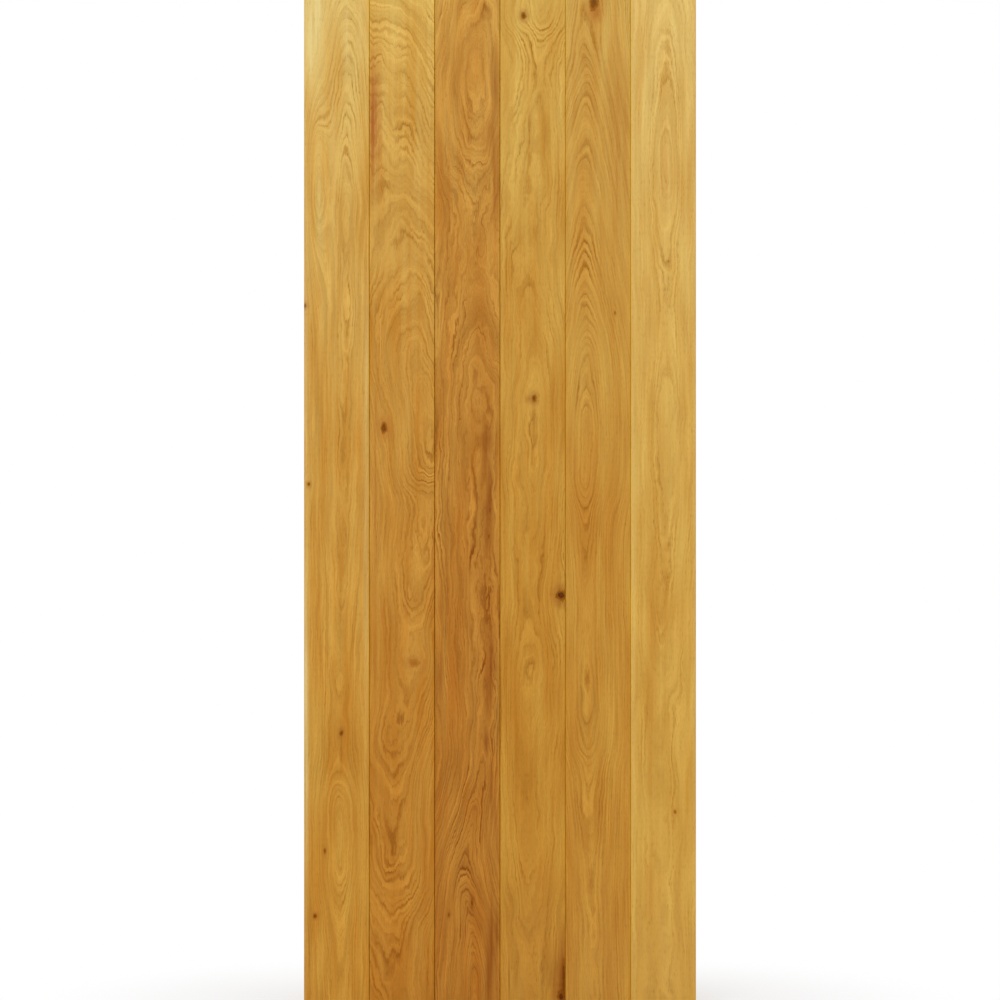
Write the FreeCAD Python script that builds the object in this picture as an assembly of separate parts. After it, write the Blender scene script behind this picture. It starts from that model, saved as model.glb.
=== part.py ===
"""Ledged and braced door leaf: tongued and grooved boards, three ledges and two braces.

Frame: +X runs across the leaf from the hanging edge to the closing edge, +Y from the boarded
front to the ledged back, +Z up. The origin is the foot of the hanging edge, midway through the
thickness of the boards. All sizes are millimetres.
"""

import FreeCAD
import Part
import math
import os

# Leaf
LEAF_WIDTH = 762.0
LEAF_HEIGHT = 1981.0

# Boards
BOARD_COUNT = 6
BOARD_THICKNESS = 20.0
SHRINKAGE_GAPS = (0.7, 1.1, 0.8, 0.5, 0.3)  # open joints from the hanging edge; each board dried by its own amount
JOINT_CHAMFER = 1.2         # bevel on each side of an open joint
EDGE_ARRIS = 1.5            # eased arris down the outer edges of the leaf

# Tongue and groove
TONGUE_THICKNESS = 6.0
TONGUE_LENGTH = 8.0         # from the shoulder that carries it
TONGUE_TIP_BEVEL = 1.0
TONGUE_CLEARANCE = 0.2      # on each flat of the tongue
GROOVE_END_CLEARANCE = 0.6  # past the tip of the tongue, once the shrinkage gap is taken up

# Ledges
LEDGE_WIDTH = 140.0
LEDGE_THICKNESS = 20.0
LEDGE_END_MARGIN = 25.0     # from each end of a ledge to the edge of the leaf, clear of the door stop
LEDGE_CHAMFER = 5.0
BOTTOM_LEDGE_RISE = 150.0   # from the foot of the leaf to the lower edge of the bottom ledge
MIDDLE_LEDGE_RISE = 920.0   # from the foot of the leaf to the lower edge of the middle ledge
TOP_LEDGE_DROP = 150.0      # from the head of the leaf to the upper edge of the top ledge

# Braces
BRACE_WIDTH = 100.0
BRACE_THICKNESS = 20.0
BRACE_CHAMFER = 5.0
BRACE_HEEL_MARGIN = 40.0    # from the end of a ledge to the outer corner of its notch
NOTCH_ABUTMENT = 30.0       # length of the bearing face, square to the brace

BOARD_PITCH = LEAF_WIDTH / BOARD_COUNT
BOARD_FRONT = -BOARD_THICKNESS / 2
BOARD_BACK = BOARD_THICKNESS / 2
TOLERANCE = 1e-6


def prism(outline, sweep):
    """Solid swept along a vector from a closed outline of points."""
    face = Part.Face(Part.makePolygon(outline + outline[:1]))
    return face.extrude(sweep)


# Boards


def grooved_edge(x, gap):
    """Left edge of a board, from the back face round to the front face, cut for its neighbour's tongue."""
    half_groove = TONGUE_THICKNESS / 2 + TONGUE_CLEARANCE
    bed = x + TONGUE_LENGTH - gap + GROOVE_END_CLEARANCE
    return [
        (x + JOINT_CHAMFER, BOARD_BACK),
        (x, BOARD_BACK - JOINT_CHAMFER),
        (x, half_groove),
        (bed, half_groove),
        (bed, -half_groove),
        (x, -half_groove),
        (x, BOARD_FRONT + JOINT_CHAMFER),
        (x + JOINT_CHAMFER, BOARD_FRONT),
    ]


def tongued_edge(x):
    """Right edge of a board, from the front face round to the back face, carrying its tongue."""
    half_tongue = TONGUE_THICKNESS / 2
    tip = x + TONGUE_LENGTH
    return [
        (x - JOINT_CHAMFER, BOARD_FRONT),
        (x, BOARD_FRONT + JOINT_CHAMFER),
        (x, -half_tongue),
        (tip - TONGUE_TIP_BEVEL, -half_tongue),
        (tip, -half_tongue + TONGUE_TIP_BEVEL),
        (tip, half_tongue - TONGUE_TIP_BEVEL),
        (tip - TONGUE_TIP_BEVEL, half_tongue),
        (x, half_tongue),
        (x, BOARD_BACK - JOINT_CHAMFER),
        (x - JOINT_CHAMFER, BOARD_BACK),
    ]


def plain_left_edge(x):
    """Outer edge of the first board, planed square with eased arrises."""
    return [
        (x + EDGE_ARRIS, BOARD_BACK),
        (x, BOARD_BACK - EDGE_ARRIS),
        (x, BOARD_FRONT + EDGE_ARRIS),
        (x + EDGE_ARRIS, BOARD_FRONT),
    ]


def plain_right_edge(x):
    """Outer edge of the last board, planed square with eased arrises."""
    return [
        (x - EDGE_ARRIS, BOARD_FRONT),
        (x, BOARD_FRONT + EDGE_ARRIS),
        (x, BOARD_BACK - EDGE_ARRIS),
        (x - EDGE_ARRIS, BOARD_BACK),
    ]


def make_board(index):
    """One board over the whole height of the leaf, counted from the hanging edge."""
    left_joint = index * BOARD_PITCH
    right_joint = left_joint + BOARD_PITCH
    if index == 0:
        left = plain_left_edge(left_joint)
    else:
        left_gap = SHRINKAGE_GAPS[index - 1]
        left = grooved_edge(left_joint + left_gap / 2, left_gap)
    if index == BOARD_COUNT - 1:
        right = plain_right_edge(right_joint)
    else:
        right = tongued_edge(right_joint - SHRINKAGE_GAPS[index] / 2)
    outline = [FreeCAD.Vector(x, y, 0) for x, y in left + right]
    return prism(outline, FreeCAD.Vector(0, 0, LEAF_HEIGHT))


# Ledges and braces


class Brace:
    """Layout of a brace between two ledges, rising from the hanging side to the closing side.

    Its upper long edge starts at the heel, its lower long edge ends at the head, and each end is a
    skew notch: a bearing face square to the brace, then a slope back to the edge of the ledge.
    """

    def __init__(self, foot_level, head_level):
        margin = LEDGE_END_MARGIN + BRACE_HEEL_MARGIN
        run = LEAF_WIDTH - 2 * margin
        rise = head_level - foot_level
        self.angle = math.atan2(rise, run) + math.asin(BRACE_WIDTH / math.hypot(run, rise))
        foot_length = BRACE_WIDTH / math.sin(self.angle)
        square = (math.sin(self.angle) * NOTCH_ABUTMENT, -math.cos(self.angle) * NOTCH_ABUTMENT)
        heel = (margin, foot_level)
        head = (LEAF_WIDTH - margin, head_level)
        self.foot_notch = [
            heel,
            (heel[0] + square[0], heel[1] + square[1]),
            (heel[0] + foot_length, heel[1]),
        ]
        self.head_notch = [
            head,
            (head[0] - square[0], head[1] - square[1]),
            (head[0] - foot_length, head[1]),
        ]

    def solid(self):
        """The brace, with its two long back arrises chamfered."""
        outline = on_back_of_boards(self.foot_notch + self.head_notch)
        bar = prism(outline, FreeCAD.Vector(0, BRACE_THICKNESS, 0))
        back = BOARD_BACK + BRACE_THICKNESS
        along = FreeCAD.Vector(math.cos(self.angle), 0, math.sin(self.angle))
        arrises = [edge for edge in bar.Edges if lies_in_back(edge, back) and runs_along(edge, along)]
        return bar.makeChamfer(BRACE_CHAMFER, arrises)


def on_back_of_boards(points):
    """Points (x, z) of an outline, set on the back face of the boards."""
    return [FreeCAD.Vector(x, BOARD_BACK, z) for x, z in points]


def lies_in_back(edge, back):
    """True for an edge in the plane y = back."""
    return all(abs(vertex.Y - back) < TOLERANCE for vertex in edge.Vertexes)


def runs_along(edge, direction):
    """True for a straight edge parallel to a unit direction."""
    start, end = (vertex.Point for vertex in edge.Vertexes)
    return (end - start).normalize().cross(direction).Length < TOLERANCE


def make_ledge(lower_edge, notches):
    """One ledge with its back arrises chamfered, cut with the notches that its braces bear in."""
    bar = Part.makeBox(
        LEAF_WIDTH - 2 * LEDGE_END_MARGIN,
        LEDGE_THICKNESS,
        LEDGE_WIDTH,
        FreeCAD.Vector(LEDGE_END_MARGIN, BOARD_BACK, lower_edge),
    )
    back = BOARD_BACK + LEDGE_THICKNESS
    ledge = bar.makeChamfer(LEDGE_CHAMFER, [edge for edge in bar.Edges if lies_in_back(edge, back)])
    for notch in notches:
        ledge = ledge.cut(prism(on_back_of_boards(notch), FreeCAD.Vector(0, LEDGE_THICKNESS, 0)))
    return ledge


def make_door():
    """All pieces of the leaf by name."""
    top_ledge_level = LEAF_HEIGHT - TOP_LEDGE_DROP - LEDGE_WIDTH
    lower_brace = Brace(BOTTOM_LEDGE_RISE + LEDGE_WIDTH, MIDDLE_LEDGE_RISE)
    upper_brace = Brace(MIDDLE_LEDGE_RISE + LEDGE_WIDTH, top_ledge_level)
    pieces = {f"board_{index + 1}": make_board(index) for index in range(BOARD_COUNT)}
    pieces["bottom_ledge"] = make_ledge(BOTTOM_LEDGE_RISE, [lower_brace.foot_notch])
    pieces["middle_ledge"] = make_ledge(
        MIDDLE_LEDGE_RISE, [lower_brace.head_notch, upper_brace.foot_notch]
    )
    pieces["top_ledge"] = make_ledge(top_ledge_level, [upper_brace.head_notch])
    pieces["lower_brace"] = lower_brace.solid()
    pieces["upper_brace"] = upper_brace.solid()
    return pieces


def main():
    os.makedirs("parts", exist_ok=True)
    for name, shape in make_door().items():
        shape.exportStep(f"parts/{name}.step")
        print(f"{name}: {len(shape.Solids)} solid, {shape.Volume / 1e3:.1f} cm3, valid {shape.isValid()}")


main()
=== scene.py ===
# %% [markdown]
# An oak ledged and braced door, dressed in Blender
#
# The door is a bare leaf: six tongued and grooved oak boards stand side by side, and three ledges and
# two braces across the back hold them flat. The solids come from the packed model and are already the
# right size. This lesson gives every board its own tree, with growth rings, knots and stains. It then
# eases the edges of the ledges and braces, adds the little oak pellets that hide the screws, and sets
# up a plain studio.

# %% Load the packed door
import math

import bmesh
import bpy
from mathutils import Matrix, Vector


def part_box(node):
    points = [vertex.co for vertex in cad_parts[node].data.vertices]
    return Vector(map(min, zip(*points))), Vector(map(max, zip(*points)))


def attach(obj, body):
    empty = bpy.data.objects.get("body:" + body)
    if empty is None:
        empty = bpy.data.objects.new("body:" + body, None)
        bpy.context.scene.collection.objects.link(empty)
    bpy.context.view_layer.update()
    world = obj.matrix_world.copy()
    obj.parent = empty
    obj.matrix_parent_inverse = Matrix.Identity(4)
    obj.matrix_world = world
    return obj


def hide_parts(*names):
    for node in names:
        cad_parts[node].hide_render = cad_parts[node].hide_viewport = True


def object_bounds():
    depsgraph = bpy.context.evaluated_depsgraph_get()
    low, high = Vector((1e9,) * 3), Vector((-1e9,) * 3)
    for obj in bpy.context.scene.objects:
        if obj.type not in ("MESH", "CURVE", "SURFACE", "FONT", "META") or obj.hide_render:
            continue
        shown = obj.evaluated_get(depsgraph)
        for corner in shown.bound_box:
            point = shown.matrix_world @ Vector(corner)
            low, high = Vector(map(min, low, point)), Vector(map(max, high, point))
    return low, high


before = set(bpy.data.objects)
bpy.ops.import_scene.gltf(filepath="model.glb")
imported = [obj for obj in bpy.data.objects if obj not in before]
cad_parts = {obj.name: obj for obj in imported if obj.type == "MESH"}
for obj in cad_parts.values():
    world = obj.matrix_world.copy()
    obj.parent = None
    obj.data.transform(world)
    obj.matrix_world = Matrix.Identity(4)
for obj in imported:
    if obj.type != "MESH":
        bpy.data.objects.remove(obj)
cad_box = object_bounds()
print("pieces in the frame:", ", ".join(sorted(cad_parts)))

# %% [markdown]
# The camera
#
# The picture shows the boarded front square on, and the leaf fills the height of the frame with a
# little of its head and foot trimmed off. A long lens from far away keeps the edges upright and
# parallel, as a shop picture does. The distance follows from how wide the leaf has to look, so nothing
# is set by eye.

# %% Stand the camera in front of the boards
PICTURE_PIXELS = 1000
LEAF_PIXELS = 392       # how wide the leaf looks in the picture
LENS_MM = 100.0
SENSOR_MM = 36.0

leaf_low = Vector(cad_box[0])
leaf_high = Vector(cad_box[1])
leaf_middle = (leaf_low + leaf_high) / 2
leaf_width = leaf_high.x - leaf_low.x
leaf_height = leaf_high.z - leaf_low.z
picture_width = leaf_width * PICTURE_PIXELS / LEAF_PIXELS
camera_distance = picture_width * LENS_MM / SENSOR_MM

camera_data = bpy.data.cameras.new("camera")
camera_data.lens = LENS_MM
camera_data.sensor_width = SENSOR_MM
camera = bpy.data.objects.new("camera", camera_data)
camera.location = (leaf_middle.x, leaf_low.y - camera_distance, leaf_middle.z)
camera.rotation_euler = (math.radians(90), 0, 0)
bpy.context.scene.collection.objects.link(camera)
bpy.context.scene.camera = camera
bpy.context.scene.view_settings.view_transform = "Standard"
print(f"camera {camera_distance:.2f} m in front of a leaf {leaf_width:.3f} m by {leaf_height:.3f} m")

# %% [markdown]
# Wires that do sums
#
# Wood is drawn here with shader nodes, and most of those nodes are small sums. Adding each Math node by
# hand hides the formula, so a wire stands for the output of a node and understands plus, minus, times
# and divide. A bench is the node tree that is being wired, with one short call for each kind of node
# the lesson needs.

# %% A wire and a bench
MIX_FIRST = 6           # sockets of a Mix node that mixes colours
MIX_SECOND = 7
MIX_RESULT = 2


class Wire:
    """The output of a node. Sums with it add Math nodes to its bench."""

    def __init__(self, bench, socket):
        self.bench = bench
        self.socket = socket

    def __add__(self, other):
        return self.bench.math("ADD", self, other)

    def __sub__(self, other):
        return self.bench.math("SUBTRACT", self, other)

    def __rsub__(self, other):
        return self.bench.math("SUBTRACT", other, self)

    def __mul__(self, other):
        return self.bench.math("MULTIPLY", self, other)

    def __truediv__(self, other):
        return self.bench.math("DIVIDE", self, other)

    __radd__ = __add__
    __rmul__ = __mul__


class Bench:
    """A node tree that is being wired up."""

    def __init__(self, tree):
        self.tree = tree

    def feed(self, socket, value):
        """Wire a value into a socket, or set it there."""
        if isinstance(value, Wire):
            self.tree.links.new(value.socket, socket)
        else:
            socket.default_value = value

    def node(self, kind, feeds=None, **settings):
        """Add a node with its settings and its named inputs."""
        node = self.tree.nodes.new(kind)
        for name, value in settings.items():
            setattr(node, name, value)
        for name, value in (feeds or {}).items():
            self.feed(node.inputs[name], value)
        return node

    def math(self, operation, *values):
        """The result of a Math node."""
        node = self.node("ShaderNodeMath", operation=operation)
        for socket, value in zip(node.inputs, values):
            self.feed(socket, value)
        return Wire(self, node.outputs[0])

    def vector(self, x, y, z):
        """A vector from three values."""
        node = self.node("ShaderNodeCombineXYZ", {"X": x, "Y": y, "Z": z})
        return Wire(self, node.outputs[0])

    def split(self, vector):
        """The three values of a vector."""
        node = self.node("ShaderNodeSeparateXYZ", {"Vector": vector})
        return [Wire(self, socket) for socket in node.outputs]

    def noise(self, vector, detail=1.0, roughness=0.5):
        """Soft noise about zero, from about -1 to 1, over cells as large as one unit of the vector."""
        feeds = {"Vector": vector, "Scale": 1.0, "Detail": detail, "Roughness": roughness}
        node = self.node("ShaderNodeTexNoise", feeds)
        return Wire(self, node.outputs[0]) * 2.0 - 1.0

    def grain_noise(self, place, cell, detail=1.0, roughness=0.5):
        """Noise drawn out along the grain, over cells of a size in mm: across, in depth and along."""
        spot = [value / size for value, size in zip(place, cell)]
        return self.noise(self.vector(*spot), detail, roughness)

    def step(self, value, low, high):
        """A smooth step from 0 at low to 1 at high."""
        feeds = {"Value": value, "From Min": low, "From Max": high}
        node = self.node("ShaderNodeMapRange", feeds, interpolation_type="SMOOTHSTEP")
        return Wire(self, node.outputs[0])

    def mix(self, share, first, second, blend="MIX"):
        """The first colour, with a share of the second. The node holds the share between 0 and 1."""
        node = self.node("ShaderNodeMix", data_type="RGBA", blend_type=blend)
        self.feed(node.inputs[0], share)
        self.feed(node.inputs[MIX_FIRST], first)
        self.feed(node.inputs[MIX_SECOND], second)
        return Wire(self, node.outputs[MIX_RESULT])

    def scale(self, colour, factor):
        """A colour made lighter or darker by a factor."""
        node = self.node("ShaderNodeVectorMath", {"Vector": colour, "Scale": factor}, operation="SCALE")
        return Wire(self, node.outputs[0])

    def place(self, group, feeds):
        """Place a node group and return its outputs by name."""
        node = self.node("ShaderNodeGroup", feeds, node_tree=group)
        return {socket.name: Wire(self, socket) for socket in node.outputs}


print("a bench can:", ", ".join(call for call in vars(Bench) if not call.startswith("_")))

# %% [markdown]
# Node groups
#
# A mark such as a knot comes back on many boards. Wired anew each time, it would fill the materials with
# copies, so it is made once as a node group with named inputs and outputs, and placed where it is
# needed. In the groups below, b is the bench, w holds the inputs as wires, and out takes what the group
# makes.

# %% Start a node group
def new_group(name, inputs, outputs):
    """An empty node group, its bench, its inputs as wires and the node that takes its outputs."""
    group = bpy.data.node_groups.new(name, "ShaderNodeTree")
    for label, value in inputs.items():
        kind = "NodeSocketColor" if isinstance(value, tuple) else "NodeSocketFloat"
        group.interface.new_socket(label, in_out="INPUT", socket_type=kind).default_value = value
    for label, kind in outputs.items():
        group.interface.new_socket(label, in_out="OUTPUT", socket_type=f"NodeSocket{kind}")
    bench = Bench(group)
    entry = bench.node("NodeGroupInput")
    wires = {label: Wire(bench, entry.outputs[label]) for label in inputs}
    return group, bench, wires, bench.node("NodeGroupOutput")


def zeros(*labels):
    """Inputs that start at zero."""
    return dict.fromkeys(labels, 0.0)


print("inputs that start at zero:", zeros("Across", "Along"))

# %% [markdown]
# A hill
#
# Much of what makes one board unlike another is a local event: a swelling in the trunk that bends the
# rings into an eye, a dark stain, a pale streak of sapwood. Each is a soft hill with a place and a size
# on the face of the board. A bell curve draws it with a few sums, and the lean lets it follow grain
# that drifts sideways as it rises.

# %% Node group: hill
hill_group, b, w, out = new_group(
    "Hill",
    {
        **zeros("Across", "Along", "Centre across", "Centre along", "Lean"),
        "Half width": 1.0,
        "Half length": 1.0,
        "Height": 1.0,
    },
    {"Hill": "Float"},
)
rise = w["Along"] - w["Centre along"]
side = w["Across"] - w["Centre across"] - rise * w["Lean"]
side = side / w["Half width"]
rise = rise / w["Half length"]
fall = b.math("EXPONENT", (side * side + rise * rise) * -1.0)
b.feed(out.inputs["Hill"], fall * w["Height"])
print("node group:", hill_group.name)

# %% [markdown]
# Knots
#
# A knot is where a branch left the trunk: a dark heart, a brown core with rings of its own, a reddish
# halo, and long grain that parts and flows round it. A picture of a knot laid on top would leave the
# grain running straight through it, so this group also says how far to push the grain aside, and the
# ring group below uses that. No real knot is a neat oval, so noise makes the outline ragged and
# lopsided.

# %% Node group: knot
KNOT_REACH = 3.2        # how far the grain is pushed aside, in sizes of the knot
KNOT_PUSH = 0.75
KNOT_RAGGED = 0.3       # how rough the outline is
KNOT_LOPSIDED = 0.35
KNOT_RINGS = 16.0       # how close its own rings lie
KNOT_HEART = (0.64, 0.36)   # where each part fades in, in sizes of the knot
KNOT_CORE = (1.2, 0.74)
KNOT_HALO = (3.0, 0.7)

knot_group, b, w, out = new_group(
    "Knot",
    {
        **zeros("Across", "Along", "Centre across", "Centre along"),
        "Half width": 4.0,
        "Half length": 5.0,
        "Darkness": 1.0,
    },
    {"Push": "Float", "Heart": "Float", "Core": "Float", "Halo": "Float"},
)
ragged = b.noise(b.vector(w["Across"] / 2.5, w["Along"] / 4.0, 0.0), detail=2.0)
lopsided = b.noise(b.vector(w["Across"] / 8.0, w["Along"] / 9.0, 5.0), detail=0.0)
side = w["Across"] - w["Centre across"]
rise = w["Along"] - w["Centre along"]
span = side / w["Half width"]
climb = rise / w["Half length"]
away = b.math("SQRT", span * span + climb * climb)
away = away + ragged * KNOT_RAGGED + lopsided * KNOT_LOPSIDED
near = b.math("EXPONENT", (span * span + climb * climb * 0.5) * (-1.0 / KNOT_REACH ** 2))
heart = b.step(away, *KNOT_HEART)
ring = b.math("SINE", away * KNOT_RINGS) * 0.14 + 0.86
core = b.step(away, *KNOT_CORE) * ring
halo = b.step(away, *KNOT_HALO)
b.feed(out.inputs["Push"], side * near * -KNOT_PUSH)
b.feed(out.inputs["Heart"], heart * (ragged * 0.6 + 0.85) * w["Darkness"] * w["Darkness"])
b.feed(out.inputs["Core"], core * w["Darkness"])
b.feed(out.inputs["Halo"], halo * w["Darkness"])
print("node group:", knot_group.name)

# %% [markdown]
# Growth rings
#
# Oak grows a porous ring each spring, and a sawn board is a flat slice through those rings. So the
# rings are not painted as stripes. The group measures how far a point lies from the pith, the centre of
# the trunk, and counts rings outwards. Where the pith lies close behind the face the slice shows
# arches, where it comes nearest it shows a closed eye, and far to the side it shows straight lines. The
# same rings come out right on edges and ends.
#
# Squeeze makes the arches narrower, swell lifts or lowers the rings at one spot, and bold says where
# the lines stand out. The band that comes out is a slow change of tone from one run of years to the
# next.

# %% Node group: growth rings
TREE_APART = 3000.0     # mm along the grain from the slice of one tree to that of the next
SLOW_BEND = 12.0        # mm that the rings wander, from long bends to fine feathering
WAVE = 8.0
FEATHER = 1.5
UNEVEN_YEARS = 0.9      # how much wide and narrow years differ
FINE_LINES = 2.7        # faint lines to a year

rings_group, b, w, out = new_group(
    "Growth rings",
    {
        **zeros("Across", "Along", "Depth", "Pith across", "Swell", "Bold", "Seed"),
        "Pith depth": 30.0,
        "Ring width": 4.0,
        "Squeeze": 1.0,
        "Wander": 1.0,
    },
    {"Line": "Float", "Late wood": "Float", "Band": "Float"},
)
along = w["Along"] + w["Seed"] * TREE_APART
place = (w["Across"], w["Depth"], along)

# How far the rings wander from true circles
slow = b.grain_noise(place, (60, 60, 210))
wave = b.grain_noise(place, (24, 34, 62), detail=3.0)
feather = b.grain_noise(place, (1.9, 1.9, 30))
wander = (slow * SLOW_BEND + wave * WAVE + feather * FEATHER) * w["Wander"]

# Years, counted outwards from the pith, and the season in a year, from 0 in spring to 1
side = (w["Across"] - w["Pith across"]) * w["Squeeze"]
deep = w["Pith depth"] - w["Depth"]
reach = b.math("SQRT", side * side + deep * deep)
crown = b.math("ABSOLUTE", deep / reach)
years = (reach + w["Swell"] + wander) / w["Ring width"]
years = years + b.noise(b.vector(years * 0.31, w["Seed"] * 7.0, 0.0), detail=0.0) * UNEVEN_YEARS
year = b.math("FLOOR", years)
season = b.math("FRACT", years)

# The dark line of each spring, stronger in some years and in some patches
chance = b.node("ShaderNodeTexWhiteNoise", {"W": year + w["Seed"] * 31.0}, noise_dimensions="1D")
ring_tone = Wire(b, chance.outputs["Value"])
spring = b.step(season, 0.0, 0.14) * b.step(season, ring_tone * 0.5 + 0.35, 0.06)
stroke = b.noise(b.vector(years * 0.8, along / 48.0, w["Across"] / 40.0), detail=1.0)
patch = b.grain_noise(place, (38, 38, 130))
strength = b.math("MAXIMUM", ring_tone * 0.7 + stroke * 0.9 + 0.3, 0.0)
bold = b.math("MAXIMUM", b.step(patch, -0.3, 0.34) * 0.7 + w["Bold"] + 0.12, 0.05)
strength = strength * bold * (crown * 0.6 + 0.4)

# Faint lines between, the pale late wood and slow bands of tone
fine = b.math("FRACT", years * FINE_LINES)
fine = b.step(fine, 0.0, 0.2) * b.step(fine, 0.8, 0.25)
late = b.step(season, 0.4, 0.68) * b.step(season, 0.98, 0.74)
band = b.noise(b.vector(years * 0.65, along / 170.0, w["Seed"] * 5.0), detail=1.0)
b.feed(out.inputs["Line"], spring * strength + fine * 0.16)
b.feed(out.inputs["Late wood"], late * strength)
b.feed(out.inputs["Band"], band)
print("node group:", rings_group.name)

# %% [markdown]
# Fibre, pores and drifting colour
#
# Between the rings, oak is full of finer marks that all run along the grain: silky fibre, open pores
# like pencil dashes, short dark flecks where rays reach the face, long darker streaks and slow drifts
# of colour. Stretched noise draws each of them: the same soft noise, squeezed across the grain and
# drawn out along it.

# %% Node group: fibre and pores
FIBRE_APART = 1700.0    # mm along the grain from the fibre of one tree to that of the next
PORE_FADE = (0.05, 0.4)     # the noise that starts a pore or a ray, and that makes it full
RAY_FADE = (0.34, 0.52)

fibre_group, b, w, out = new_group(
    "Fibre and pores",
    zeros("Across", "Along", "Depth", "Seed"),
    {"Fibre": "Float", "Streak": "Float", "Drift": "Float", "Pores": "Float", "Rays": "Float"},
)
place = (w["Across"], w["Depth"], w["Along"] + w["Seed"] * FIBRE_APART)
fibre = b.grain_noise(place, (2.6, 2.6, 60), detail=2.0, roughness=0.6)
streak = b.grain_noise(place, (7, 14, 330), detail=2.0)
drift = b.grain_noise(place, (42, 60, 260), detail=2.0)
dashes = b.grain_noise(place, (0.6, 0.6, 11))
rays = b.grain_noise(place, (1.1, 1.1, 15), detail=0.0)
b.feed(out.inputs["Fibre"], fibre)
b.feed(out.inputs["Streak"], streak)
b.feed(out.inputs["Drift"], drift)
b.feed(out.inputs["Pores"], b.step(dashes, *PORE_FADE))
b.feed(out.inputs["Rays"], b.step(rays, *RAY_FADE))
print("node group:", fibre_group.name)

# %% [markdown]
# Tones as a screen shows them
#
# A matched tone is three numbers from 0 to 255, as a screen shows it. Shaders work in linear
# light, where half the number isn't half the light, and the same numbers would look washed out. One
# helper turns the first into the second, so that tones can be written the way they look.

# %% Turn a tone into light
def tone(red, green, blue):
    """A colour as it shows on a screen, 0 to 255, as the linear light that shaders use."""
    levels = [level / 255 for level in (red, green, blue)]
    linear = [v / 12.92 if v <= 0.04045 else ((v + 0.055) / 1.055) ** 2.4 for v in levels]
    return (*linear, 1.0)


print("a mid oak, as linear light:", [round(level, 3) for level in tone(190, 134, 54)])

# %% [markdown]
# The oiled oak surface
#
# This group brings the marks together as one finish. Spring wood takes the oil and goes darker and a
# touch rougher, the dense summer wood between stays pale and satin, pores are tiny dents, and knots are
# dark and slightly sunk. Over that lie stains, sapwood and the tannin that browns the knots, and painted
# light: a painted sheen that pales the head of the board, pale hills that are in places painted light,
# and a painted warm tint on the shade in each joint. It gives out a colour, a roughness and a height,
# and each board feeds in its own tones.

# %% Node group: oiled oak
PORE_TONE = tone(120, 62, 0)
END_TONE = tone(122, 80, 34)
JOINT_SHADE_TINT = (1.08, 1.06, 0.64, 1.0)     # painted warm tint for the shade in a joint
TANNIN_TONE = (1.02, 0.94, 0.2, 1.0)   # what the tannin in a knot does to its colour

surface_group, b, w, out = new_group(
    "Oiled oak",
    {
        **zeros("Line", "Late wood", "Band", "Fibre", "Streak", "Drift", "Pores", "Rays"),
        **zeros("Stain", "Sap and painted light", "Joint", "Knot heart", "Knot core", "Knot halo", "End grain", "Head sheen share"),
        "Line strength": 0.6,
        "Streak strength": 0.12,
        "Band strength": 0.12,
        "Summer wood": tone(206, 152, 72),
        "Warm wood": tone(196, 136, 56),
        "Spring wood": tone(160, 104, 38),
        "Stain wood": tone(158, 86, 26),
        "Sap and light tone": tone(224, 188, 108),
        "Knot wood": tone(132, 72, 2),
        "Knot dark": tone(66, 28, 0),
        "Head sheen tint": (1.0, 1.0, 1.0, 1.0),
    },
    {"Colour": "Color", "Roughness": "Float", "Height": "Float"},
)

# Clean wood: summer and spring tones, then light and shade
warmth = b.step(w["Drift"] * 0.7 + w["Streak"] * 0.5 - w["Band"] * 0.25, -0.6, 0.6)
wood = b.mix(warmth, w["Summer wood"], w["Warm wood"])
grain_line = w["Line"] * (w["Fibre"] * 0.5 + 0.9) * w["Line strength"]
wood = b.mix(grain_line, wood, w["Spring wood"])
shade = w["Fibre"] * 0.07 + w["Drift"] * 0.04 + w["Late wood"] * 0.1 - w["Rays"] * 0.1 + 0.98
shade = shade + w["Streak"] * w["Streak strength"] + w["Band"] * w["Band strength"]
wood = b.scale(wood, shade)

# Painted light and sheen at the head, sapwood with some painted light, stains, and a painted warm tint
# on the shade in the joints, all but the first ragged along the fibre
# Painted light and sheen: the head of the board is made paler and yellower
wood = b.mix(w["Head sheen share"], wood, w["Head sheen tint"], blend="MULTIPLY")
ragged = b.math("MAXIMUM", w["Streak"] * 1.4 + w["Fibre"] * 0.4 + 1.0, 0.0)
# Pale hills: sapwood, and in places painted light on a highlight and at the foot
wood = b.mix(w["Sap and painted light"] * ragged, wood, w["Sap and light tone"])
wood = b.mix(w["Stain"] * ragged, wood, w["Stain wood"])
# A painted warm tint on the shade in each joint
wood = b.mix(w["Joint"] * ragged, wood, JOINT_SHADE_TINT, blend="MULTIPLY")

# Pores, end grain and knots
pores = w["Pores"] * (w["Line"] * 0.6 + 0.12)
wood = b.mix(pores, wood, PORE_TONE)
wood = b.mix(w["End grain"] * 0.6, wood, END_TONE)
wood = b.mix(w["Knot halo"] * 0.55, wood, w["Stain wood"])
wood = b.mix(w["Knot core"], wood, w["Knot wood"])
wood = b.mix(w["Knot heart"], wood, w["Knot dark"])
wood = b.mix(w["Knot core"] * 1.2, wood, TANNIN_TONE, blend="MULTIPLY")

# How rough the wood is, and how high it stands
rough = w["Line"] * 0.07 + pores * 0.2 + w["End grain"] * 0.22 + w["Fibre"] * 0.03 + 0.4
height = w["Fibre"] * 0.22 - pores * 1.6 - w["Line"] * 0.3 - w["Knot core"] * 1.5
b.feed(out.inputs["Colour"], wood)
b.feed(out.inputs["Roughness"], rough)
b.feed(out.inputs["Height"], height)
print("node group:", surface_group.name)

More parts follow.
